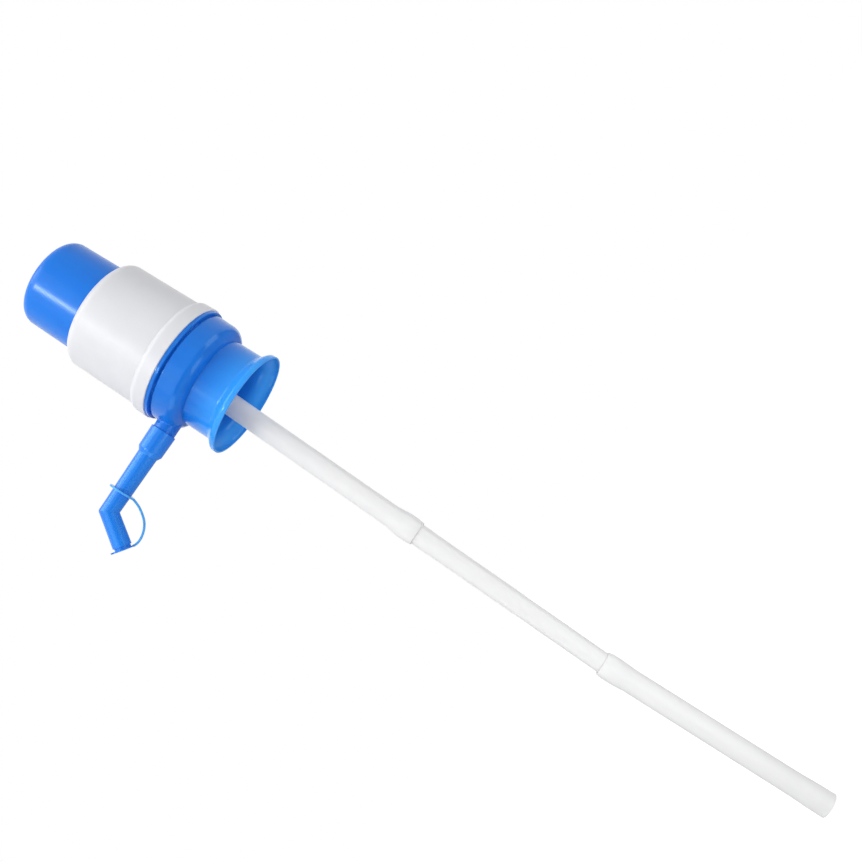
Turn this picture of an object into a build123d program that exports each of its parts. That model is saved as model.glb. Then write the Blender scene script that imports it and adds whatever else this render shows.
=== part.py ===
from build123d import *
import math
import os

# Hand pump for large drinking-water jugs. Millimetres, +Z up.
# The origin is on the pump's axis, on the ceiling of the collar where the jug's neck stops.
# The spout points along -X.

# ---- driving dimensions -------------------------------------------------------------
# jug neck and collar
neck_diameter = 55.0
neck_clearance = 0.9
collar_wall = 1.8
collar_straight = 18.3
collar_draft = 0.25
flare_height = 7.9
flare_rim_radius = 35.15
flare_rim_height = 3.2
flare_sweep_radius = 2.2
flare_rim_wall = 1.3
flare_rim_round = 2.5
flare_lip_depth = 2.7
lip_sweep_radius = 5.0
bore_length = 18.0
bore_sweep_radius = 9.0

# drum and lip of the base
floor_thickness = 3.3
drum_radius = 37.0
drum_draft = 0.5
drum_wall = 3.2
drum_height = 19.2
shoulder_radius = 8.0
shoulder_rise = 0.8
groove_height = 1.5
groove_depth = 0.9
lip_radius = 39.0
lip_thickness = 2.4
lip_edge = 0.5
spigot_height = 7.5
spigot_wall = 1.5
spigot_step = 0.2
ledge_height = 24.0

# water way
spout_height = 8.8
duct_bore_radius = 5.4
duct_wall = 2.1
duct_end_x = 4.6
nipple_reach = 56.2
nipple_fillet = 1.2
socket_offset = 4.7
socket_depth = 13.0
socket_wall = 1.9
socket_port_radius = 5.2
tube_start_gap = 1.0
tube_lean = 2.05
lower_tube_lean = -0.6

# frosted sleeve
sleeve_height = 63.5
sleeve_top_radius = 36.75
sleeve_draft = 0.85
sleeve_corner = 6.5
sleeve_top_fall = 0.8
sleeve_inner_corner = 4.0
sleeve_wall = 1.7
band_height = 9.0
band_step = 2.2
band_radius = 39.85
band_draft = 0.3
band_shoulder_radius = 4.0
band_root_radius = 0.4
sleeve_seat_clearance = 0.1

# press cap
press_travel = 30.0
cap_stand = 10.2
cap_top_radius = 29.6
cap_bottom_radius = 30.45
cap_corner = 7.3
cap_wall = 1.6
cap_gap = 0.45
cap_flange_reach = 2.3
cap_flange_thickness = 1.6
cap_flange_gap = 0.25
cap_flange_edge = 0.8
cap_boss_radius = 11.5
cap_boss_wall = 2.0
cap_boss_height = 5.5
cap_slots = 4
cap_slot_width = 3.0

# valve plate, seal and clamp ring
plate_thickness = 2.5
plate_clearance = 0.1
plate_rim_height = 4.6
plate_rim_wall = 1.6
plate_rim_inset = 1.8
plate_rim_edge = 0.4
seal_thickness = 1.0
seal_width = 2.4
clamp_height = 3.0
clamp_width = 4.6
clamp_lead_in = 0.8
clamp_holes = 4
clamp_hole_radius = 1.2
neck_gasket_thickness = 2.0
neck_gasket_width = 4.2

# bellows
bellows_peak_radius = 27.2
bellows_valley_radius = 21.4
bellows_wall = 1.1
bellows_folds = 8
bellows_foot_thickness = 1.4
bellows_top_thickness = 1.4
bellows_fold_edge = 0.5
bellows_hole_radius = 8.0

# valves
plug_flange_thickness = 1.6
plug_hub_radius = 7.9
plug_hub_depth = 4.0
valve_port_radius = 1.2
valve_ports = 6
intake_disc_radius = 6.4
intake_port_ring = 4.0
delivery_disc_radius = 9.0
delivery_port_ring = 5.4
disc_thickness = 0.9
disc_edge = 0.3
disc_gap = 0.1
pin_radius = 1.4
pin_clearance = 0.08
pin_head_radius = 2.8
pin_head_thickness = 1.2
pin_head_edge = 0.4
intake_lift = 1.2
delivery_lift = 1.6

# air holes in the floor of the drum
air_hole_radius = 2.2
air_hole_ring = 19.0
air_holes = 5
air_hole_span = 200.0

# suction tubes
tube_radius = 7.0
tube_wall = 1.0
upper_tube_length = 158.2
bell_length = 10.0
bell_blend = 9.0
bell_sweep_radius = 27.0
bell_shoulder_radius = 18.0
bell_rim_taper = 3.5
bell_rim_drop = 0.5
bell_rim_sweep = 18.0
bell_rim_edge = 0.3
upper_bell_radius = 8.15
middle_top_radius = 6.9
middle_bottom_radius = 6.35
middle_waist_radius = 6.6
middle_waist = 34.0
middle_sweep_radius = 680.0
middle_tube_length = 160.8
middle_insert = 12.0
lower_tube_radius = 7.38
lower_tube_length = 152.0
lower_bell_radius = 8.0
lower_bell_wall = 1.25
lower_insert = 14.0
inlet_radius = 7.85
inlet_length = 9.0
inlet_blend = 14.0
inlet_sweep_radius = 140.0

# spout and its seal
swivel_clearance = 0.06
seal_position = 50.0
seal_section_radius = 0.5
seal_gap = 0.03
seal_side_gap = 0.08
spout_socket_start = 41.7
spout_socket_length = 15.0
spout_socket_radius = 8.5
spout_shoulder_radius = 8.2
spout_shoulder_length = 2.8
spout_edge = 0.4
pipe_start_radius = 6.5
pipe_end_radius = 5.87
spout_bore_radius = 4.7
elbow_reach = 101.1
elbow_bend = 53.8
elbow_straight = 4.0
elbow_round_radius = 5.5
elbow_round_lift = 0.12
spout_turn = 13.0
leg_length = 23.0
leg_end_radius = 6.0

# dust cap and its tether
lid_radius = 6.3
lid_thickness = 1.0
lid_boss_radius = 5.2
lid_boss_height = 1.5
tab_reach = 8.0
tab_width = 4.0
plug_length = 5.0
plug_clearance = 0.05
plug_bore_depth = 4.4
plug_wall = 1.0
tether_reach = 86.9
tether_ring_radius = 8.8
tether_ring_thickness = 1.3
tether_ring_clearance = 0.05
strap_width = 2.2
strap_thickness = 1.1
strap_gap = 0.3
strap_curve = [(3.3, 14.1), (9.2, 21.5), (17.2, 25.1)]
strap_start_slope = 3.0

# ---- sizes that follow --------------------------------------------------------------
neck_bore_radius = neck_diameter / 2 + neck_clearance
collar_radius = neck_bore_radius + collar_wall
mouth_height = -collar_straight - flare_height
drum_inner_radius = drum_radius - drum_wall
spigot_radius = drum_radius - groove_depth + spigot_step
spigot_inner_radius = spigot_radius - spigot_wall
lip_top = drum_height + groove_height + lip_thickness
spigot_top = lip_top + spigot_height
duct_radius = duct_bore_radius + duct_wall
swivel_radius = duct_radius + swivel_clearance
seal_radius = swivel_radius - seal_gap - seal_section_radius
seal_groove_width = 2 * (seal_section_radius + seal_side_gap)

plate_bottom = ledge_height + seal_thickness
plate_top = plate_bottom + plate_thickness
plate_radius = spigot_inner_radius - plate_clearance
rim_radius = plate_radius - plate_rim_inset
rim_inner_radius = rim_radius - plate_rim_wall
foot_top = plate_top + bellows_foot_thickness

sleeve_top = lip_top + sleeve_height
cap_top_height = sleeve_top + press_travel + cap_stand
flange_top = sleeve_top - sleeve_wall - cap_flange_gap
flange_bottom = flange_top - cap_flange_thickness
cap_ceiling = cap_top_height - cap_wall
boss_bottom = cap_ceiling - cap_boss_height
plug_flange_bottom = boss_bottom - plug_flange_thickness
bellows_top = plug_flange_bottom - disc_gap
hub_bottom = plug_flange_bottom - plug_hub_depth

socket_radius_inside = (
    tube_radius + socket_depth * math.tan(math.radians(tube_lean)) / 2 + pin_clearance
)
socket_radius = socket_radius_inside + socket_wall


def corner(profile, radius, height):
    """The corner of a profile that lies nearest to a radius and a height."""
    return profile.vertices().sort_by_distance((radius, height))[0]


# ---- base ---------------------------------------------------------------------------
collar_low_radius = collar_radius + collar_draft
flare_start = -collar_straight
rim_top = mouth_height + flare_rim_height
mouth_radius = flare_rim_radius - flare_rim_wall
plane_spout = Plane(origin=(0, 0, spout_height), x_dir=(0, 1, 0), z_dir=(-1, 0, 0))

with BuildPart() as base_body:
    with BuildSketch(Plane.XZ) as drum_profile:
        Polygon(
            (0, shoulder_rise),
            (drum_radius, shoulder_rise),
            (drum_radius + drum_draft, drum_height),
            (drum_radius - groove_depth, drum_height),
            (drum_radius - groove_depth, lip_top - lip_thickness),
            (lip_radius, lip_top - lip_thickness),
            (lip_radius, lip_top),
            (spigot_radius, lip_top),
            (spigot_radius, spigot_top),
            (spigot_inner_radius, spigot_top),
            (spigot_inner_radius, ledge_height),
            (drum_inner_radius, ledge_height),
            (drum_inner_radius, floor_thickness),
            (0, floor_thickness),
            align=None,
        )
        fillet(corner(drum_profile, drum_radius, shoulder_rise), shoulder_radius)
        fillet(corner(drum_profile, drum_inner_radius, floor_thickness), shoulder_radius - drum_wall)
        fillet(corner(drum_profile, lip_radius, lip_top - lip_thickness), lip_edge)
        fillet(corner(drum_profile, drum_radius + drum_draft, drum_height), lip_edge)
    revolve(axis=Axis.Z)
    # floor, neck collar and its flared mouth
    with BuildSketch(Plane.XZ) as collar_profile:
        Polygon(
            (0, 0),
            (neck_bore_radius, 0),
            (neck_bore_radius, -bore_length),
            (mouth_radius, mouth_height + flare_lip_depth),
            (mouth_radius, mouth_height),
            (flare_rim_radius, mouth_height),
            (flare_rim_radius, rim_top),
            (collar_low_radius, flare_start),
            (collar_radius, floor_thickness),
            (0, floor_thickness),
            align=None,
        )
        fillet(corner(collar_profile, collar_low_radius, flare_start), flare_sweep_radius)
        fillet(corner(collar_profile, neck_bore_radius, -bore_length), bore_sweep_radius)
        fillet(corner(collar_profile, mouth_radius, mouth_height + flare_lip_depth), lip_sweep_radius)
        fillet(corner(collar_profile, flare_rim_radius, rim_top), flare_rim_round)
        fillet(corner(collar_profile, flare_rim_radius, mouth_height), flare_rim_wall / 3)
        fillet(corner(collar_profile, mouth_radius, mouth_height), flare_rim_wall / 3)
    revolve(axis=Axis.Z)
    # water duct across the drum, running out through the wall as the spout's nipple
    with BuildSketch(plane_spout.offset(-duct_end_x)):
        Circle(duct_radius)
    extrude(amount=duct_end_x + nipple_reach)
    nipple_root = (
        base_body.edges()
        .filter_by(lambda e: e.center().X < -drum_inner_radius and e.center().X > -lip_radius)
        .filter_by(lambda e: abs(e.center().Z - spout_height) < duct_radius)
        .filter_by(lambda e: e.geom_type not in (GeomType.LINE, GeomType.CIRCLE))
    )
    fillet(nipple_root, nipple_fillet)
    # groove round the nipple for the spout's seal
    with BuildSketch(plane_spout.offset(seal_position - seal_groove_width / 2)):
        Circle(duct_radius + swivel_clearance)
        Circle(seal_radius - seal_section_radius - seal_gap, mode=Mode.SUBTRACT)
    extrude(amount=seal_groove_width, mode=Mode.SUBTRACT)
    # socket for the suction tube, under the duct
    with BuildSketch(Plane.XY.offset(-socket_depth)):
        with Locations((-socket_offset, 0)):
            Circle(socket_radius)
    extrude(amount=socket_depth + floor_thickness)
    with BuildSketch(Plane.XY.offset(-socket_depth)):
        with Locations((-socket_offset, 0)):
            Circle(socket_radius_inside)
    extrude(amount=socket_depth, mode=Mode.SUBTRACT)
    with BuildSketch(Plane.XY):
        with Locations((-socket_offset, 0)):
            Circle(socket_port_radius)
    extrude(amount=spout_height, mode=Mode.SUBTRACT)
    with BuildSketch(plane_spout.offset(-duct_end_x + duct_wall)):
        Circle(duct_bore_radius)
    extrude(amount=duct_end_x - duct_wall + nipple_reach, mode=Mode.SUBTRACT)
    # air holes from the drum down into the jug
    with BuildSketch(Plane.XY):
        with PolarLocations(air_hole_ring, air_holes, -air_hole_span / 2, air_hole_span, endpoint=True):
            Circle(air_hole_radius)
    extrude(amount=floor_thickness, mode=Mode.SUBTRACT)
base_body.part.label = "base_body"

# ---- rubber ring that seals on the jug's neck ---------------------------------------
with BuildPart() as neck_gasket:
    with BuildSketch(Plane.XY.offset(-neck_gasket_thickness)):
        Circle(neck_bore_radius - plate_clearance)
        Circle(neck_bore_radius - plate_clearance - neck_gasket_width, mode=Mode.SUBTRACT)
    extrude(amount=neck_gasket_thickness)
neck_gasket.part.label = "neck_gasket"

# ---- valve plate, the floor of the air chamber --------------------------------------
with BuildPart() as plate_seal:
    with BuildSketch(Plane.XY.offset(ledge_height)):
        Circle(plate_radius)
        Circle(plate_radius - seal_width, mode=Mode.SUBTRACT)
    extrude(amount=seal_thickness)
plate_seal.part.label = "plate_seal"

with BuildPart() as valve_plate:
    with BuildSketch(Plane.XY.offset(plate_bottom)):
        Circle(plate_radius)
    extrude(amount=plate_thickness)
    with BuildSketch(Plane.XY.offset(plate_top)):
        Circle(rim_radius)
        Circle(rim_inner_radius, mode=Mode.SUBTRACT)
    extrude(amount=plate_rim_height)
    with BuildSketch(Plane.XY.offset(plate_bottom)):
        Circle(pin_radius + pin_clearance / 2)
        with PolarLocations(delivery_port_ring, valve_ports):
            Circle(valve_port_radius)
    extrude(amount=plate_thickness, mode=Mode.SUBTRACT)
    chamfer(valve_plate.edges().filter_by(GeomType.CIRCLE).group_by(Axis.Z)[-1], plate_rim_edge)
valve_plate.part.label = "valve_plate"

delivery_top = plate_bottom - disc_gap
with BuildPart() as delivery_valve:
    with BuildSketch(Plane.XY.offset(delivery_top - disc_thickness)):
        Circle(delivery_disc_radius)
        Circle(pin_radius + pin_clearance, mode=Mode.SUBTRACT)
    extrude(amount=disc_thickness)
    fillet(delivery_valve.edges().group_by(Axis.Z)[0].sort_by(SortBy.RADIUS)[-1], disc_edge)
delivery_valve.part.label = "delivery_valve"

delivery_head_top = delivery_top - disc_thickness - delivery_lift - disc_gap
with BuildPart() as delivery_valve_pin:
    with BuildSketch(Plane.XY.offset(delivery_head_top)):
        Circle(pin_radius)
    extrude(amount=plate_top - delivery_head_top)
    with BuildSketch(Plane.XY.offset(delivery_head_top - pin_head_thickness)):
        Circle(pin_head_radius)
    extrude(amount=pin_head_thickness)
    with BuildSketch(Plane.XY.offset(plate_top)):
        Circle(pin_head_radius)
    extrude(amount=pin_head_thickness)
    fillet(delivery_valve_pin.edges().filter_by(GeomType.CIRCLE).group_by(Axis.Z)[0], pin_head_edge)
    fillet(delivery_valve_pin.edges().filter_by(GeomType.CIRCLE).group_by(Axis.Z)[-1], pin_head_edge)
delivery_valve_pin.part.label = "delivery_valve_pin"

# ---- bellows, clamped at its foot ---------------------------------------------------
fold_bottom = foot_top + bellows_wall
fold_top = bellows_top - bellows_top_thickness
fold_pitch = (fold_top - fold_bottom) / bellows_folds
fold_points = [(bellows_valley_radius, fold_bottom)]
for fold in range(bellows_folds):
    fold_points.append((bellows_peak_radius, fold_bottom + (fold + 0.5) * fold_pitch))
    fold_points.append((bellows_valley_radius, fold_bottom + (fold + 1) * fold_pitch))
inner_points = [(r - bellows_wall, z) for r, z in reversed(fold_points)]

with BuildPart() as bellows:
    with BuildSketch(Plane.XZ) as bellows_profile:
        Polygon(
            (rim_inner_radius - plate_clearance, plate_top),
            (rim_inner_radius - plate_clearance, foot_top),
            (bellows_valley_radius, foot_top),
            *fold_points,
            (bellows_valley_radius, bellows_top),
            (bellows_hole_radius, bellows_top),
            (bellows_hole_radius, fold_top),
            *inner_points,
            (bellows_valley_radius - bellows_wall, plate_top),
            align=None,
        )
        folds = [corner(bellows_profile, r, z) for r, z in fold_points[1:-1] + inner_points[1:-1]]
        fillet(folds, bellows_fold_edge)
    revolve(axis=Axis.Z)
bellows.part.label = "bellows"

clamp_outer_radius = rim_inner_radius - plate_clearance
with BuildPart() as bellows_clamp_ring:
    with BuildSketch(Plane.XY.offset(foot_top)):
        Circle(clamp_outer_radius)
        Circle(clamp_outer_radius - clamp_width, mode=Mode.SUBTRACT)
    extrude(amount=clamp_height)
    chamfer(bellows_clamp_ring.edges().group_by(Axis.Z)[-1].sort_by(SortBy.RADIUS)[0], clamp_lead_in)
    with PolarLocations(clamp_outer_radius - clamp_width / 2, clamp_holes):
        with Locations((0, 0, foot_top + clamp_height)):
            Hole(clamp_hole_radius, depth=clamp_height / 2)
bellows_clamp_ring.part.label = "bellows_clamp_ring"

# ---- top of the bellows: plug with the intake valve ---------------------------------
with BuildPart() as bellows_top_plug:
    with BuildSketch(Plane.XY.offset(plug_flange_bottom)):
        Circle(cap_boss_radius)
    extrude(amount=plug_flange_thickness)
    with BuildSketch(Plane.XY.offset(hub_bottom)):
        Circle(plug_hub_radius)
    extrude(amount=plug_hub_depth)
    with BuildSketch(Plane.XY.offset(hub_bottom)):
        Circle(pin_radius + pin_clearance / 2)
        with PolarLocations(intake_port_ring, valve_ports):
            Circle(valve_port_radius)
    extrude(amount=plug_hub_depth + plug_flange_thickness, mode=Mode.SUBTRACT)
bellows_top_plug.part.label = "bellows_top_plug"

intake_top = hub_bottom - disc_gap
with BuildPart() as intake_valve:
    with BuildSketch(Plane.XY.offset(intake_top - disc_thickness)):
        Circle(intake_disc_radius)
        Circle(pin_radius + pin_clearance, mode=Mode.SUBTRACT)
    extrude(amount=disc_thickness)
    fillet(intake_valve.edges().group_by(Axis.Z)[0].sort_by(SortBy.RADIUS)[-1], disc_edge)
intake_valve.part.label = "intake_valve"

intake_head_top = intake_top - disc_thickness - intake_lift - disc_gap
plug_top = plug_flange_bottom + plug_flange_thickness
with BuildPart() as intake_valve_pin:
    with BuildSketch(Plane.XY.offset(intake_head_top)):
        Circle(pin_radius)
    extrude(amount=plug_top - intake_head_top)
    with BuildSketch(Plane.XY.offset(intake_head_top - pin_head_thickness)):
        Circle(pin_head_radius)
    extrude(amount=pin_head_thickness)
    with BuildSketch(Plane.XY.offset(plug_top)):
        Circle(pin_head_radius)
    extrude(amount=pin_head_thickness)
    fillet(intake_valve_pin.edges().filter_by(GeomType.CIRCLE).group_by(Axis.Z)[0], pin_head_edge)
    fillet(intake_valve_pin.edges().filter_by(GeomType.CIRCLE).group_by(Axis.Z)[-1], pin_head_edge)
intake_valve_pin.part.label = "intake_valve_pin"

# ---- press cap ----------------------------------------------------------------------
flange_radius = cap_bottom_radius + cap_flange_reach
cap_inner_top_radius = cap_top_radius - cap_wall
cap_inner_bottom_radius = cap_bottom_radius - cap_wall
with BuildPart() as press_cap:
    with BuildSketch(Plane.XZ) as cap_profile:
        Polygon(
            (0, cap_top_height),
            (cap_top_radius, cap_top_height),
            (cap_bottom_radius, flange_top),
            (flange_radius, flange_top),
            (flange_radius, flange_bottom),
            (cap_inner_bottom_radius, flange_bottom),
            (cap_inner_top_radius, cap_ceiling),
            (0, cap_ceiling),
            align=None,
        )
        fillet(corner(cap_profile, cap_top_radius, cap_top_height), cap_corner)
        fillet(corner(cap_profile, cap_inner_top_radius, cap_ceiling), cap_corner - cap_wall)
        chamfer(corner(cap_profile, flange_radius, flange_top), cap_flange_edge)
    revolve(axis=Axis.Z)
    # boss that presses on the bellows' top plug, slotted so that air reaches the valve
    with BuildSketch(Plane.XY.offset(boss_bottom)):
        Circle(cap_boss_radius)
        Circle(cap_boss_radius - cap_boss_wall, mode=Mode.SUBTRACT)
    extrude(amount=cap_boss_height)
    with BuildSketch(Plane.XY.offset(boss_bottom)):
        with PolarLocations(cap_boss_radius - cap_boss_wall / 2, cap_slots):
            Rectangle(2 * cap_boss_wall, cap_slot_width)
    extrude(amount=cap_boss_height / 2, mode=Mode.SUBTRACT)
press_cap.part.label = "press_cap"

# ---- frosted sleeve -----------------------------------------------------------------
band_top = lip_top + band_height
step_top = band_top + band_step
sleeve_hole_radius = cap_bottom_radius + cap_gap
sleeve_foot_radius = sleeve_top_radius + sleeve_draft
sleeve_shoulder = sleeve_top - sleeve_top_fall
band_inner_radius = spigot_radius + sleeve_seat_clearance
with BuildPart() as outer_sleeve:
    with BuildSketch(Plane.XZ) as sleeve_profile:
        Polygon(
            (sleeve_hole_radius, sleeve_top),
            (sleeve_top_radius, sleeve_shoulder),
            (sleeve_foot_radius, step_top),
            (band_radius - band_draft, band_top),
            (band_radius, lip_top),
            (band_inner_radius, lip_top),
            (band_inner_radius, band_top),
            (sleeve_foot_radius - sleeve_wall, step_top),
            (sleeve_top_radius - sleeve_wall, sleeve_top - sleeve_wall),
            (sleeve_hole_radius, sleeve_top - sleeve_wall),
            align=None,
        )
        fillet(corner(sleeve_profile, sleeve_foot_radius, step_top), band_root_radius)
        fillet(corner(sleeve_profile, band_radius - band_draft, band_top), band_shoulder_radius)
        fillet(corner(sleeve_profile, band_radius, lip_top), lip_edge)
        inner_corner = corner(sleeve_profile, sleeve_top_radius - sleeve_wall, sleeve_top - sleeve_wall)
        fillet(inner_corner, sleeve_inner_corner)
        fillet(corner(sleeve_profile, sleeve_top_radius, sleeve_shoulder), sleeve_corner)
    revolve(axis=Axis.Z)
outer_sleeve.part.label = "outer_sleeve"

# ---- suction tubes ------------------------------------------------------------------
lean = math.radians(tube_lean)
low_lean = math.radians(lower_tube_lean)
upper_start = Vector(-socket_offset + socket_depth / 2 * math.tan(lean), 0, -tube_start_gap)
down_upper = Vector(-math.sin(lean), 0, -math.cos(lean))
down_lower = Vector(-math.sin(low_lean), 0, -math.cos(low_lean))
middle_start = upper_start + down_upper * (upper_tube_length - middle_insert)
lower_start = middle_start + down_upper * (middle_tube_length - lower_insert)
# the lower tube leans back in its bell about the middle of the joint
lower_start = lower_start + (down_upper - down_lower) * (lower_insert / 2)


def tube_plane(start, down):
    """A plane through a tube's axis: local x is the radius, local y runs down the tube."""
    return Plane(origin=start, x_dir=(0, 1, 0), z_dir=Vector(0, 1, 0).cross(down))


bell_start = upper_tube_length - bell_length - bell_blend
upper_rim_start = upper_tube_length - bell_rim_taper
with BuildPart() as suction_tube_upper:
    with BuildSketch(tube_plane(upper_start, down_upper)) as upper_profile:
        Polygon(
            (tube_radius, 0),
            (tube_radius, bell_start),
            (upper_bell_radius, bell_start + bell_blend),
            (upper_bell_radius, upper_rim_start),
            (upper_bell_radius - bell_rim_drop, upper_tube_length),
            (upper_bell_radius - tube_wall, upper_tube_length),
            (upper_bell_radius - tube_wall, upper_tube_length - middle_insert - tube_wall),
            (tube_radius - tube_wall, bell_start),
            (tube_radius - tube_wall, 0),
            align=None,
        )
        fillet(corner(upper_profile, tube_radius, bell_start), bell_sweep_radius)
        fillet(corner(upper_profile, upper_bell_radius, bell_start + bell_blend), bell_shoulder_radius)
        fillet(corner(upper_profile, upper_bell_radius, upper_rim_start), bell_rim_sweep)
        fillet(corner(upper_profile, upper_bell_radius - bell_rim_drop, upper_tube_length), bell_rim_edge)
    revolve(axis=Axis(upper_start, down_upper))
suction_tube_upper.part.label = "suction_tube_upper"

with BuildPart() as suction_tube_middle:
    with BuildSketch(tube_plane(middle_start, down_upper)) as middle_profile:
        Polygon(
            (middle_top_radius, 0),
            (middle_waist_radius, middle_waist),
            (middle_bottom_radius, middle_tube_length),
            (middle_bottom_radius - tube_wall, middle_tube_length),
            (middle_waist_radius - tube_wall, middle_waist),
            (middle_top_radius - tube_wall, 0),
            align=None,
        )
        fillet(corner(middle_profile, middle_waist_radius, middle_waist), middle_sweep_radius)
    revolve(axis=Axis(middle_start, down_upper))
suction_tube_middle.part.label = "suction_tube_middle"

lower_bell_end = lower_insert - bell_blend / 2
inlet_start = lower_tube_length - inlet_length
with BuildPart() as suction_tube_lower:
    with BuildSketch(tube_plane(lower_start, down_lower)) as lower_profile:
        Polygon(
            (lower_bell_radius - bell_rim_drop, 0),
            (lower_bell_radius, bell_rim_taper),
            (lower_bell_radius, lower_bell_end),
            (lower_tube_radius, lower_bell_end + bell_blend),
            (lower_tube_radius, inlet_start - inlet_blend),
            (inlet_radius, inlet_start),
            (inlet_radius, lower_tube_length),
            (inlet_radius - tube_wall, lower_tube_length),
            (inlet_radius - tube_wall, inlet_start),
            (lower_tube_radius - tube_wall, inlet_start - inlet_blend),
            (lower_tube_radius - tube_wall, lower_bell_end + bell_blend + tube_wall),
            (lower_bell_radius - lower_bell_wall, lower_insert + tube_wall),
            (lower_bell_radius - lower_bell_wall, 0),
            align=None,
        )
        fillet(corner(lower_profile, lower_bell_radius - bell_rim_drop, 0), bell_rim_edge)
        fillet(corner(lower_profile, lower_bell_radius, bell_rim_taper), bell_rim_sweep)
        fillet(corner(lower_profile, lower_tube_radius, lower_bell_end + bell_blend), bell_sweep_radius)
        fillet(corner(lower_profile, lower_tube_radius, inlet_start - inlet_blend), inlet_sweep_radius)
    revolve(axis=Axis(lower_start, down_lower))
suction_tube_lower.part.label = "suction_tube_lower"

# ---- spout --------------------------------------------------------------------------
# the spout rests turned a little about its own axis, so its leg hangs out of the XZ plane
bend = math.radians(elbow_bend)
turn = math.radians(spout_turn)
turned_up = Vector(0, -math.sin(turn), math.cos(turn))
turned_side = Vector(0, math.cos(turn), math.sin(turn))
elbow = Vector(-elbow_reach, 0, spout_height)
leg_way = Vector(-math.cos(bend), 0, 0) - turned_up * math.sin(bend)
plane_pipe = Plane(origin=(0, 0, spout_height), x_dir=(-1, 0, 0), z_dir=turned_side)
plane_leg = Plane(origin=elbow, x_dir=leg_way, z_dir=turned_side)
plane_mitre = Plane(origin=elbow, z_dir=Vector(-1, 0, 0) + leg_way)
socket_end = spout_socket_start + spout_socket_length
pipe_start = socket_end + spout_shoulder_length
pipe_end = elbow_reach - elbow_straight
pipe_taper = (pipe_start_radius - pipe_end_radius) / (pipe_end - pipe_start)
nipple_room = nipple_reach + swivel_clearance
overrun = 2 * pipe_end_radius
# centre of the elbow's outer rounding, on the mitre
mitre_slope = math.tan(bend / 2)
round_level = pipe_end_radius + elbow_round_lift - elbow_round_radius
round_reach = elbow_reach + round_level * mitre_slope
ridge_level = pipe_end_radius + elbow_straight
ridge_cut = ridge_level - round_level

with BuildPart() as spout_leg:
    with BuildSketch(plane_leg):
        Polygon(
            (-overrun, spout_bore_radius),
            (-overrun, pipe_end_radius),
            (elbow_straight, pipe_end_radius),
            (leg_length, leg_end_radius),
            (leg_length, spout_bore_radius),
            align=None,
        )
    revolve(axis=Axis(elbow, leg_way))
    split(bisect_by=plane_mitre, keep=Keep.TOP)

with BuildPart() as spout:
    with BuildSketch(plane_pipe) as pipe_profile:
        Polygon(
            (spout_socket_start, swivel_radius),
            (spout_socket_start, spout_socket_radius),
            (socket_end, spout_shoulder_radius),
            (pipe_start, pipe_start_radius),
            (pipe_end, pipe_end_radius),
            (elbow_reach + overrun, pipe_end_radius),
            (elbow_reach + overrun, spout_bore_radius),
            (nipple_room, spout_bore_radius),
            (nipple_room, swivel_radius),
            align=None,
        )
        fillet(corner(pipe_profile, spout_socket_start, spout_socket_radius), spout_edge)
        fillet(corner(pipe_profile, socket_end, spout_shoulder_radius), spout_shoulder_length / 2)
        fillet(corner(pipe_profile, pipe_start, pipe_start_radius), spout_shoulder_length / 3)
    revolve(axis=Axis((0, 0, spout_height), (-1, 0, 0)))
    split(bisect_by=plane_mitre, keep=Keep.BOTTOM)
    add(spout_leg.part)
    # the sharp outer ridge of the mitre is rounded off
    with BuildSketch(plane_pipe):
        Polygon(
            (round_reach, round_level),
            (round_reach, ridge_level),
            (elbow_reach + ridge_level * mitre_slope, ridge_level),
            (round_reach + ridge_cut * math.sin(bend), round_level + ridge_cut * math.cos(bend)),
            align=None,
        )
        with Locations((round_reach, round_level)):
            Circle(elbow_round_radius, mode=Mode.SUBTRACT)
    extrude(amount=overrun, both=True, mode=Mode.SUBTRACT)
spout.part.label = "spout"

# ---- rubber ring between the nipple and the spout's socket ---------------------------
with BuildPart() as spout_seal:
    with BuildSketch(plane_pipe):
        with Locations((seal_position, seal_radius)):
            Circle(seal_section_radius)
    revolve(axis=Axis((0, 0, spout_height), (-1, 0, 0)))
spout_seal.part.label = "spout_seal"

# ---- dust cap on the outlet ---------------------------------------------------------
lid_start = leg_length + plug_clearance + lid_boss_height
plane_outlet = Plane(origin=elbow, x_dir=turned_side, z_dir=leg_way)
plug_radius = spout_bore_radius - plug_clearance
with BuildPart() as dust_cap:
    with BuildSketch(plane_outlet.offset(leg_length - plug_length)):
        Circle(plug_radius)
    extrude(amount=plug_length + plug_clearance)
    with BuildSketch(plane_outlet.offset(leg_length + plug_clearance)):
        Circle(lid_boss_radius)
    extrude(amount=lid_boss_height)
    with BuildSketch(plane_outlet.offset(lid_start)):
        Circle(lid_radius)
        with Locations((0, -tab_reach / 2)):
            RectangleRounded(tab_width, tab_reach, tab_width / 3)
    extrude(amount=lid_thickness)
    with BuildSketch(plane_outlet.offset(leg_length - plug_length)):
        Circle(plug_radius - plug_wall)
    extrude(amount=plug_bore_depth, mode=Mode.SUBTRACT)
    lid_face = dust_cap.faces().sort_by(Axis(elbow, leg_way))[-1]
    fillet(lid_face.edges(), lid_thickness / 3)
dust_cap.part.label = "dust_cap"

# ---- tether: a ring on the pipe and a flat strap to the lid --------------------------
ring_near = tether_reach - tether_ring_thickness / 2
ring_bore_radius = pipe_start_radius - pipe_taper * (ring_near - pipe_start) + tether_ring_clearance
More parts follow.
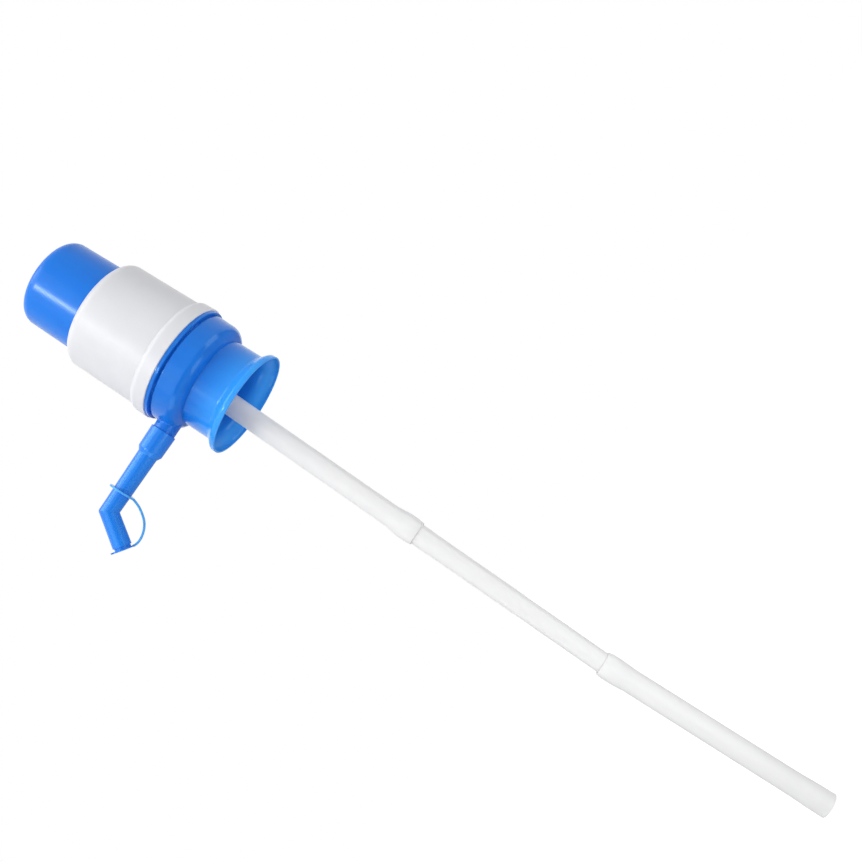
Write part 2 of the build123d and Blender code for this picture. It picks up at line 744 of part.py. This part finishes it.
# where the strap meets the lid, as reach along the pipe and height above its axis
lid_middle = lid_start + lid_thickness / 2
strap_end = (
    elbow_reach + lid_middle * math.cos(bend) - (lid_radius + strap_gap) * math.sin(bend),
    -lid_middle * math.sin(bend) - (lid_radius + strap_gap) * math.cos(bend),
)
with BuildPart() as tether_strap:
    with BuildSketch(plane_spout.offset(ring_near)):
        Circle(tether_ring_radius)
        Circle(ring_bore_radius, mode=Mode.SUBTRACT)
    extrude(amount=tether_ring_thickness)
    with BuildSketch(plane_pipe):
        with BuildLine() as strap_line:
            Spline(
                (tether_reach, strap_thickness / 2 - tether_ring_radius),
                *[(tether_reach + along, -below) for along, below in strap_curve],
                strap_end,
                tangents=[(1, -strap_start_slope), (math.sin(bend), math.cos(bend))],
            )
        trace(line_width=strap_thickness)
    extrude(amount=strap_width / 2, both=True)
tether_strap.part.label = "tether_strap"

# ---- one STEP for each piece --------------------------------------------------------
pieces = [
    base_body,
    neck_gasket,
    plate_seal,
    valve_plate,
    delivery_valve,
    delivery_valve_pin,
    bellows,
    bellows_clamp_ring,
    bellows_top_plug,
    intake_valve,
    intake_valve_pin,
    press_cap,
    outer_sleeve,
    suction_tube_upper,
    suction_tube_middle,
    suction_tube_lower,
    spout,
    spout_seal,
    dust_cap,
    tether_strap,
]
os.makedirs("parts", exist_ok=True)
for piece in pieces:
    export_step(piece.part, f"parts/{piece.part.label}.step")
    print(piece.part.label, "volume", round(piece.part.volume, 1), "mm3")
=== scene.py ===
import math
import bpy
import bmesh
from mathutils import Matrix, Vector, geometry


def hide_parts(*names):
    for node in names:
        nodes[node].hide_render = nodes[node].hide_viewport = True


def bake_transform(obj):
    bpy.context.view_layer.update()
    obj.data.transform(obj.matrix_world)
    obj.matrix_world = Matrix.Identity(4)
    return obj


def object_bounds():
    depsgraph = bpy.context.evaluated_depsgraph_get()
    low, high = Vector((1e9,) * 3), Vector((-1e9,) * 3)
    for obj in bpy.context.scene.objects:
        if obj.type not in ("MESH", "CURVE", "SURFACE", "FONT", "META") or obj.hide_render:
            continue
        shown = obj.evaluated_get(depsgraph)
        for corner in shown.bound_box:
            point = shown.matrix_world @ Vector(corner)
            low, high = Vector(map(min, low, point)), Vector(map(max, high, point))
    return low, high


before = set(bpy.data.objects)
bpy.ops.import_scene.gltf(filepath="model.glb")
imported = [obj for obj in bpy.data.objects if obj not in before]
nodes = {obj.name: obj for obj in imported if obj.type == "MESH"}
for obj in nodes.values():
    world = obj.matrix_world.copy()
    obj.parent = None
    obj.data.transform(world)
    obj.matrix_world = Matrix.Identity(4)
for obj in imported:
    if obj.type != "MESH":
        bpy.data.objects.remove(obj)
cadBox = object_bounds()
print("frame loaded:", len(nodes), "nodes")


def addObject(name, data):
    added = bpy.data.objects.new(name, data)
    bpy.context.scene.collection.objects.link(added)
    return added


def finishPiece(name, shape):
    # the drawn shape as a smooth-shaded object of its own
    bmesh.ops.recalc_face_normals(shape, faces=shape.faces)
    for face in shape.faces:
        face.smooth = True
    mesh = bpy.data.meshes.new(name)
    shape.to_mesh(mesh)
    shape.free()
    return addObject(name, mesh)


# small helpers for the materials' nodes; nearly all of a noise's values lie in its middle band

noise = {"bandLow": 0.3, "bandHigh": 0.7, "detail": 2.0}


def newShader(name, look):
    # a Principled material, with the piece's own coordinates to hang its textures on
    material = bpy.data.materials.new(name)
    material.use_nodes = True
    tree = material.node_tree
    shader = tree.nodes["Principled BSDF"]
    shader.inputs["IOR"].default_value = look["ior"]
    shader.inputs["Specular IOR Level"].default_value = look["specular"]
    shader.inputs["Specular Tint"].default_value = look["sheenTint"]
    shader.inputs["Subsurface Weight"].default_value = look["scatter"]
    shader.inputs["Subsurface Radius"].default_value = look["scatterReach"]
    shader.inputs["Subsurface Scale"].default_value = look["scatterScale"]
    coords = tree.nodes.new("ShaderNodeTexCoord")
    return material, tree, shader, coords.outputs["Object"]


def noiseNode(tree, vector, size, stretch=(1, 1, 1)):
    # noise whose spots are about size metres across, drawn out along an axis by stretch
    mapping = tree.nodes.new("ShaderNodeMapping")
    mapping.inputs["Scale"].default_value = [1 / (size * share) for share in stretch]
    tree.links.new(vector, mapping.inputs["Vector"])
    spots = tree.nodes.new("ShaderNodeTexNoise")
    spots.inputs["Scale"].default_value = 1.0
    spots.inputs["Detail"].default_value = noise["detail"]
    tree.links.new(mapping.outputs["Vector"], spots.inputs["Vector"])
    return spots.outputs["Fac"]


def rangeNode(tree, value, low, high):
    # stretches the noise's middle band over low to high
    spread = tree.nodes.new("ShaderNodeMapRange")
    spread.inputs["From Min"].default_value = noise["bandLow"]
    spread.inputs["From Max"].default_value = noise["bandHigh"]
    spread.inputs["To Min"].default_value = low
    spread.inputs["To Max"].default_value = high
    tree.links.new(value, spread.inputs["Value"])
    return spread.outputs["Result"]


def mixNode(tree, value, first, second):
    # drifts between two colours with the noise
    mix = tree.nodes.new("ShaderNodeMix")
    mix.data_type = "RGBA"
    mix.inputs["A"].default_value = first
    mix.inputs["B"].default_value = second
    tree.links.new(rangeNode(tree, value, 0.0, 1.0), mix.inputs["Factor"])
    return mix.outputs["Result"]


def bumpNode(tree, heights):
    # each height has a depth in metres; the bumps are laid over one another
    normal = None
    for height, depth in heights:
        bump = tree.nodes.new("ShaderNodeBump")
        bump.inputs["Strength"].default_value = 1.0
        bump.inputs["Distance"].default_value = depth
        tree.links.new(height, bump.inputs["Height"])
        if normal:
            tree.links.new(normal, bump.inputs["Normal"])
        normal = bump.outputs["Normal"]
    return normal


def paintedLightNode(tree, coords, colour, paintedLight):
    # painted light: down the collar the colour turns a lighter blue, standing in for the light that comes
    # through its thin wall
    split = tree.nodes.new("ShaderNodeSeparateXYZ")
    tree.links.new(coords, split.inputs["Vector"])
    spread = tree.nodes.new("ShaderNodeMapRange")
    spread.interpolation_type = "SMOOTHSTEP"
    spread.inputs["From Min"].default_value = paintedLight["from"]
    spread.inputs["From Max"].default_value = paintedLight["to"]
    tree.links.new(split.outputs["Z"], spread.inputs["Value"])
    mix = tree.nodes.new("ShaderNodeMix")
    mix.data_type = "RGBA"
    mix.inputs["B"].default_value = paintedLight["colour"]
    tree.links.new(colour, mix.inputs["A"])
    tree.links.new(spread.outputs["Result"], mix.inputs["Factor"])
    return mix.outputs["Result"]


def mouldedPlastic(name, look):
    # two tones that drift with the flow of the moulding, a gloss that varies, waves and grain
    material, tree, shader, coords = newShader(name, look)
    drift = noiseNode(tree, coords, look["driftSize"], look["stretch"])
    grain = noiseNode(tree, coords, look["grainSize"])
    colour = mixNode(tree, drift, look["deep"], look["clear"])
    # painted light, where the look asks for it: a lighter blue down the collar
    if "paintedLight" in look:
        colour = paintedLightNode(tree, coords, colour, look["paintedLight"])
    tree.links.new(colour, shader.inputs["Base Color"])
    rough = rangeNode(tree, drift, look["roughness"][0], look["roughness"][1])
    tree.links.new(rough, shader.inputs["Roughness"])
    normal = bumpNode(tree, [(drift, look["waveDepth"]), (grain, look["grainDepth"])])
    tree.links.new(normal, shader.inputs["Normal"])
    return material


def dress(material, *names):
    # gives the named nodes of the frame a new material
    for name in names:
        for slot in nodes[name].material_slots:
            slot.material = material


# sizes in metres; the two tones are "deep" and "clear"

bluePlastic = {
    "deep": (0.009, 0.180, 0.720, 1),
    "clear": (0.010, 0.198, 0.765, 1),
    "roughness": (0.20, 0.26),
    "ior": 1.5,
    "specular": 0.3,
    "sheenTint": (0.8, 0.95, 1.0, 1),
    "scatter": 0.25,
    "scatterReach": (0.1, 0.4, 1.0),
    "scatterScale": 0.002,
    "driftSize": 0.018,
    "stretch": (1, 1, 2.5),
    "grainSize": 0.0012,
    "waveDepth": 0.00008,
    "grainDepth": 0.000004,
}
# the collar's blue carries painted light: a lighter blue down the collar, for light coming through its thin
# wall
collarBlue = dict(bluePlastic, deep=(0.008, 0.164, 0.670, 1), clear=(0.009, 0.180, 0.715, 1),
                  roughness=(0.13, 0.19), specular=0.45, sheenTint=(0.5, 0.85, 1.0, 1),
                  paintedLight={"from": 0.0, "to": -0.024, "colour": (0.035, 0.340, 0.950, 1)})
glossyBlue = dict(bluePlastic, deep=(0.007, 0.186, 0.770, 1), clear=(0.008, 0.206, 0.820, 1),
                  roughness=(0.16, 0.20), specular=0.8, sheenTint=(0.5, 0.9, 1.0, 1), scatter=0.0,
                  stretch=(2.5, 1, 1), driftSize=0.01, waveDepth=0.00003, grainDepth=0.0)
stringBlue = dict(glossyBlue, deep=(0.060, 0.360, 0.860, 1), clear=(0.075, 0.400, 0.900, 1))

frostedPlastic = {
    "deep": (0.700, 0.705, 0.740, 1),
    "clear": (0.730, 0.735, 0.765, 1),
    "roughness": (0.36, 0.46),
    "ior": 1.49,
    "specular": 0.4,
    "sheenTint": (1, 1, 1, 1),
    "scatter": 0.3,
    "scatterReach": (1.0, 1.0, 1.1),
    "scatterScale": 0.003,
    "driftSize": 0.03,
    "stretch": (1, 1, 1.6),
    "grainSize": 0.0007,
    "waveDepth": 0.0001,
    "grainDepth": 0.000025,
}
milkyTube = dict(frostedPlastic, deep=(0.815, 0.818, 0.826, 1), clear=(0.843, 0.845, 0.850, 1),
                 scatter=0.15, roughness=(0.34, 0.42), driftSize=0.006, stretch=(1, 1, 14), waveDepth=0.00003,
                 grainDepth=0.000006)
blownPlastic = dict(frostedPlastic, deep=(0.76, 0.76, 0.74, 1), clear=(0.82, 0.82, 0.80, 1),
                    waveDepth=0.0002)
whitePlastic = dict(frostedPlastic, deep=(0.80, 0.80, 0.79, 1), clear=(0.84, 0.84, 0.83, 1),
                    roughness=(0.2, 0.28), grainDepth=0.000004)
siliconeRubber = dict(frostedPlastic, deep=(0.62, 0.63, 0.62, 1), clear=(0.70, 0.71, 0.69, 1),
                      roughness=(0.5, 0.62), driftSize=0.006, grainSize=0.0004)

dress(mouldedPlastic("bluePlastic", bluePlastic), "press_cap")
dress(mouldedPlastic("collarBluePlastic", collarBlue), "base_body")
dress(mouldedPlastic("glossyBluePlastic", glossyBlue), "spout", "dust_cap")
dress(mouldedPlastic("frostedPlastic", frostedPlastic), "outer_sleeve")
tubeMaterial = mouldedPlastic("milkyTube", milkyTube)
dress(tubeMaterial, "suction_tube_upper", "suction_tube_middle", "suction_tube_lower")
whiteMaterial = mouldedPlastic("whitePlastic", whitePlastic)
dress(whiteMaterial, "valve_plate", "bellows_clamp_ring", "bellows_top_plug")
dress(whiteMaterial, "delivery_valve_pin", "intake_valve_pin")
rubberMaterial = mouldedPlastic("siliconeRubber", siliconeRubber)
dress(rubberMaterial, "neck_gasket", "plate_seal", "spout_seal", "delivery_valve", "intake_valve")
print("materials done")


# the bellows: blown folds between a clamped foot and the plug, which close up as the cap goes down
# sizes in mm, heights from the neck's stop

bellows = {
    "bottom": 27.5,
    "footTop": 28.9,
    "footRadius": 31.2,
    "foldBottom": 30.0,
    "foldTop": 116.6,
    "top": 118.0,
    "folds": 8,
    "peak": 27.2,
    "valley": 21.4,
    "wall": 1.1,
    "hole": 8.0,
    "round": 0.4,
    "steps": 96,
}


def bellowsProfile():
    # (radius, height) round the wall: foot, folds up the outside, lid and folds down the inside
    pitch = (bellows["foldTop"] - bellows["foldBottom"]) / bellows["folds"]
    outer = [(bellows["valley"], bellows["foldBottom"])]
    for fold in range(bellows["folds"]):
        outer.append((bellows["peak"], bellows["foldBottom"] + (fold + 0.5) * pitch))
        outer.append((bellows["valley"], bellows["foldBottom"] + (fold + 1) * pitch))
    inner = [(radius - bellows["wall"], height) for radius, height in reversed(outer)]
    foot = [(bellows["footRadius"], bellows["bottom"]), (bellows["footRadius"], bellows["footTop"]),
            (bellows["valley"], bellows["footTop"])]
    lid = [(bellows["valley"], bellows["top"]), (bellows["hole"], bellows["top"]),
           (bellows["hole"], bellows["foldTop"])]
    return foot + outer + lid + inner + [(bellows["valley"] - bellows["wall"], bellows["bottom"])]


def makeBellows():
    shape = bmesh.new()
    corners = [shape.verts.new((radius / 1000, 0, height / 1000)) for radius, height in bellowsProfile()]
    shape.faces.new(corners)
    bmesh.ops.bevel(shape, geom=corners, offset=bellows["round"] / 1000, affect="VERTICES", segments=3,
                    profile=0.5, material=-1)
    bmesh.ops.delete(shape, geom=shape.faces[:], context="FACES_ONLY")
    bmesh.ops.spin(shape, geom=shape.verts[:] + shape.edges[:], cent=(0, 0, 0), axis=(0, 0, 1),
                   angle=math.tau, steps=bellows["steps"], use_merge=True)
    return finishPiece("bellowsFolds", shape)


bellowsPiece = makeBellows()
bellowsPiece.data.materials.append(mouldedPlastic("blownPlastic", blownPlastic))
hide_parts("bellows")
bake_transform(bellowsPiece)
print("bellows done:", len(bellowsPiece.data.polygons), "faces")


# the tether: a thin ring round the pipe and a soft strap down to the lid, moulded as one
# route points are (reach along the pipe, height above its axis) in mm, in the spout's plane

tether = {
    "pipeHeight": 8.8,
    "turn": math.radians(13.0),
    "ringReach": 86.9,
    "ringThickness": 1.3,
    "ringInner": 6.1,
    "ringOuter": 8.8,
    "ringRound": 0.35,
    "ringSteps": 96,
    "sharp": math.radians(60.0),
    "route": [(86.9, -7.9), (89.6, -14.6), (95.7, -21.9), (104.0, -25.2), (110.9, -23.9)],
    "startWay": (0.316, -0.949),
    "endWay": (0.807, 0.591),
    "width": 2.2,
    "thickness": 1.5,
    "round": 0.4,
    "stepsEach": 12,
}


def tetherPoint(reach, height, side=0.0):
    # from the spout's own plane, in mm, to the frame, in metres
    y = side * math.cos(tether["turn"]) - height * math.sin(tether["turn"])
    z = side * math.sin(tether["turn"]) + height * math.cos(tether["turn"])
    return Vector((-reach, y, tether["pipeHeight"] + z)) / 1000


def tetherWay(reach, height, side=0.0):
    # a direction in the spout's plane, as one of the frame
    return (tetherPoint(reach, height, side) - tetherPoint(0, 0)).normalized()


def strapLine():
    # a smooth line through the route: at a middle point it runs along its neighbours' chord
    knots = [Vector((*point, 0)) for point in tether["route"]]
    ways = [Vector((*tether["startWay"], 0))]
    for before, after in zip(knots, knots[2:]):
        ways.append((after - before).normalized())
    ways.append(Vector((*tether["endWay"], 0)))
    line = [knots[0]]
    for i in range(len(knots) - 1):
        arm = (knots[i + 1] - knots[i]).length / 3
        bend = geometry.interpolate_bezier(knots[i], knots[i] + ways[i] * arm,
                                           knots[i + 1] - ways[i + 1] * arm, knots[i + 1],
                                           tether["stepsEach"] + 1)
        line.extend(bend[1:])
    return line


def strapPlace(line, step):
    # how the strap's section stands at one step: across, through and along the strap
    ahead = line[min(step + 1, len(line) - 1)] - line[max(step - 1, 0)]
    along = tetherWay(ahead.x, ahead.y)
    across = tetherWay(0, 0, 1)
    place = Matrix((across, along.cross(across), along)).transposed().to_4x4()
    place.translation = tetherPoint(line[step].x, line[step].y)
    return place


def drawRing(shape):
    # a flat section turned about the pipe, with its rims rounded
    corners = []
    for radius in (tether["ringInner"], tether["ringOuter"]):
        for side in (-0.5, 0.5):
            reach = tether["ringReach"] + side * tether["ringThickness"]
            corners.append(shape.verts.new(tetherPoint(reach, radius)))
    loop = [corners[0], corners[1], corners[3], corners[2]]
    edges = [shape.edges.new((loop[i], loop[(i + 1) % 4])) for i in range(4)]
    bmesh.ops.spin(shape, geom=loop + edges, cent=tetherPoint(tether["ringReach"], 0), axis=(1, 0, 0),
                   angle=math.tau, steps=tether["ringSteps"], use_merge=True)
    bmesh.ops.recalc_face_normals(shape, faces=shape.faces)
    rims = [edge for edge in shape.edges if edge.calc_face_angle() > tether["sharp"]]
    bmesh.ops.bevel(shape, geom=rims, offset=tether["ringRound"] / 1000, affect="EDGES", segments=3,
                    profile=0.5, material=-1)


def drawStrap(shape):
    # one section with round corners, drawn along the line step by step
    line = strapLine()
    section = bmesh.ops.create_grid(shape, x_segments=1, y_segments=1, size=0.5)["verts"]
    bmesh.ops.scale(shape, vec=(tether["width"] / 1000, tether["thickness"] / 1000, 1), verts=section)
    rounded = bmesh.ops.bevel(shape, geom=section, offset=tether["round"] / 1000, affect="VERTICES",
                              segments=4, profile=0.5, material=-1)["verts"]
    face = rounded[0].link_faces[0]
    bmesh.ops.transform(shape, matrix=strapPlace(line, 0), verts=face.verts)
    for step in range(1, len(line)):
        move = strapPlace(line, step) @ strapPlace(line, step - 1).inverted()
        grown = bmesh.ops.extrude_face_region(shape, geom=[face])["geom"]
        face = next(item for item in grown if isinstance(item, bmesh.types.BMFace))
        bmesh.ops.transform(shape, matrix=move, verts=face.verts)


def makeTether():
    shape = bmesh.new()
    drawRing(shape)
    drawStrap(shape)
    return finishPiece("tether", shape)


tetherPiece = makeTether()
tetherPiece.data.materials.append(mouldedPlastic("stringBluePlastic", stringBlue))
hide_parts("tether_strap")
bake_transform(tetherPiece)
print("tether done:", len(tetherPiece.data.polygons), "faces")


# the camera's place in metres and its two directions; "near" is where its view begins

view = {
    "place": (-0.03819, -0.70125, -0.2152),
    "forward": (0.12103, 0.98569, 0.11736),
    "up": (0.83236, -0.16519, 0.52905),
    "lens": 48.03,
    "sensor": 36.0,
    "near": 0.01,
}
forward = Vector(view["forward"]).normalized()
right = forward.cross(Vector(view["up"])).normalized()
up = right.cross(forward)
camera = addObject("camera", bpy.data.cameras.new("camera"))
camera.data.lens = view["lens"]
camera.data.sensor_width = view["sensor"]
camera.data.clip_start = view["near"]
turn = Matrix((right, up, -forward)).transposed().to_4x4()
camera.matrix_world = Matrix.Translation(view["place"]) @ turn
bpy.context.scene.camera = camera
print("camera done")


# each lamp stands "toward" the camera's (right, up, back) from its target

lamps = {
    "streakBox": {"toward": (-0.70, -0.10, 0.72), "target": (0, 0, 0.07), "distance": 1.0,
                  "width": 0.11, "height": 0.32, "power": 3.3},
    "wideBox": {"toward": (-0.72, -0.12, 0.70), "target": (0, 0, 0.03), "distance": 1.0,
                "width": 1.0, "height": 1.0, "power": 1.75},
    "spoutBox": {"toward": (-0.75, 0.42, 0.5), "target": (-0.09, 0, 0), "distance": 0.8,
                 "width": 0.6, "height": 0.5, "power": 1.4},
    "highBox": {"toward": (-0.87, 0.47, 0.14), "target": (0, 0, 0), "distance": 1.2,
                "width": 0.6, "height": 0.6, "power": 2.6},
    "mouthBox": {"toward": (0.7, -0.2, 0.7), "target": (0, 0, -0.03), "distance": 0.45,
                 "width": 0.25, "height": 0.25, "power": 0.33},
    "tubeBox": {"toward": (0.6, 0.75, 0.3), "target": (0, 0, -0.1), "distance": 0.9,
                "width": 0.6, "height": 0.6, "power": 2.3},
    "lowBox": {"toward": (-0.3, -1.0, 0.3), "target": (0, 0, 0), "distance": 1.0,
               "width": 0.6, "height": 0.6, "power": 1.6},
}
for name, lamp in lamps.items():
    way = right * lamp["toward"][0] + up * lamp["toward"][1] - forward * lamp["toward"][2]
    data = bpy.data.lights.new(name, "AREA")
    data.shape = "RECTANGLE"
    data.size = lamp["width"]
    data.size_y = lamp["height"]
    data.energy = lamp["power"]
    lampObject = addObject(name, data)
    lampObject.location = Vector(lamp["target"]) + way.normalized() * lamp["distance"]
    lampObject.rotation_euler = way.to_track_quat("Z", "Y").to_euler()
    lampObject.visible_camera = False

studio = {"light": 0.42, "seen": 1.0, "colour": (1, 1, 1, 1)}


def lightStudio():
    # a white room: plain light on the pieces, full white for the eye, in a gloss and through a wall
    world = bpy.data.worlds.new("studio")
    bpy.context.scene.world = world
    world.use_nodes = True
    tree = world.node_tree
    background = tree.nodes["Background"]
    background.inputs["Color"].default_value = studio["colour"]
    path = tree.nodes.new("ShaderNodeLightPath")
    seen = path.outputs["Is Camera Ray"]
    for ray in ("Is Glossy Ray", "Is Transmission Ray"):
        either = tree.nodes.new("ShaderNodeMath")
        either.operation = "MAXIMUM"
        tree.links.new(seen, either.inputs[0])
        tree.links.new(path.outputs[ray], either.inputs[1])
        seen = either.outputs[0]
    strength = tree.nodes.new("ShaderNodeMapRange")
    strength.inputs["To Min"].default_value = studio["light"]
    strength.inputs["To Max"].default_value = studio["seen"]
    tree.links.new(seen, strength.inputs["Value"])
    tree.links.new(strength.outputs["Result"], background.inputs["Strength"])


lightStudio()
print("lamps and studio done")


# the floor lies a little below the pump; its glow keeps it white for the camera but for the shadow

floor = {"size": 8.0, "gap": 0.0004, "glow": 0.8, "colour": (0.75, 0.75, 0.75, 1)}


def paleFloor():
    material = bpy.data.materials.new("paleFloor")
    material.use_nodes = True
    tree = material.node_tree
    tree.nodes.remove(tree.nodes["Principled BSDF"])
    matte = tree.nodes.new("ShaderNodeBsdfDiffuse")
    matte.inputs["Color"].default_value = floor["colour"]
    path = tree.nodes.new("ShaderNodeLightPath")
    glowLevel = tree.nodes.new("ShaderNodeMath")
    glowLevel.operation = "MULTIPLY"
    glowLevel.inputs[1].default_value = floor["glow"]
    tree.links.new(path.outputs["Is Camera Ray"], glowLevel.inputs[0])
    glow = tree.nodes.new("ShaderNodeEmission")
    tree.links.new(glowLevel.outputs[0], glow.inputs["Strength"])
    both = tree.nodes.new("ShaderNodeAddShader")
    tree.links.new(matte.outputs[0], both.inputs[0])
    tree.links.new(glow.outputs[0], both.inputs[1])
    tree.links.new(both.outputs[0], tree.nodes["Material Output"].inputs["Surface"])
    return material


floorShape = bmesh.new()
bmesh.ops.create_grid(floorShape, x_segments=1, y_segments=1, size=floor["size"])
bmesh.ops.translate(floorShape, verts=floorShape.verts, vec=(0, 0, cadBox[0][2] - floor["gap"]))
floorMesh = bpy.data.meshes.new("floor")
floorShape.to_mesh(floorMesh)
floorShape.free()
floorMesh.materials.append(paleFloor())
floorPiece = addObject("floor", floorMesh)
bpy.context.scene.view_settings.view_transform = "Standard"
print("stage done")
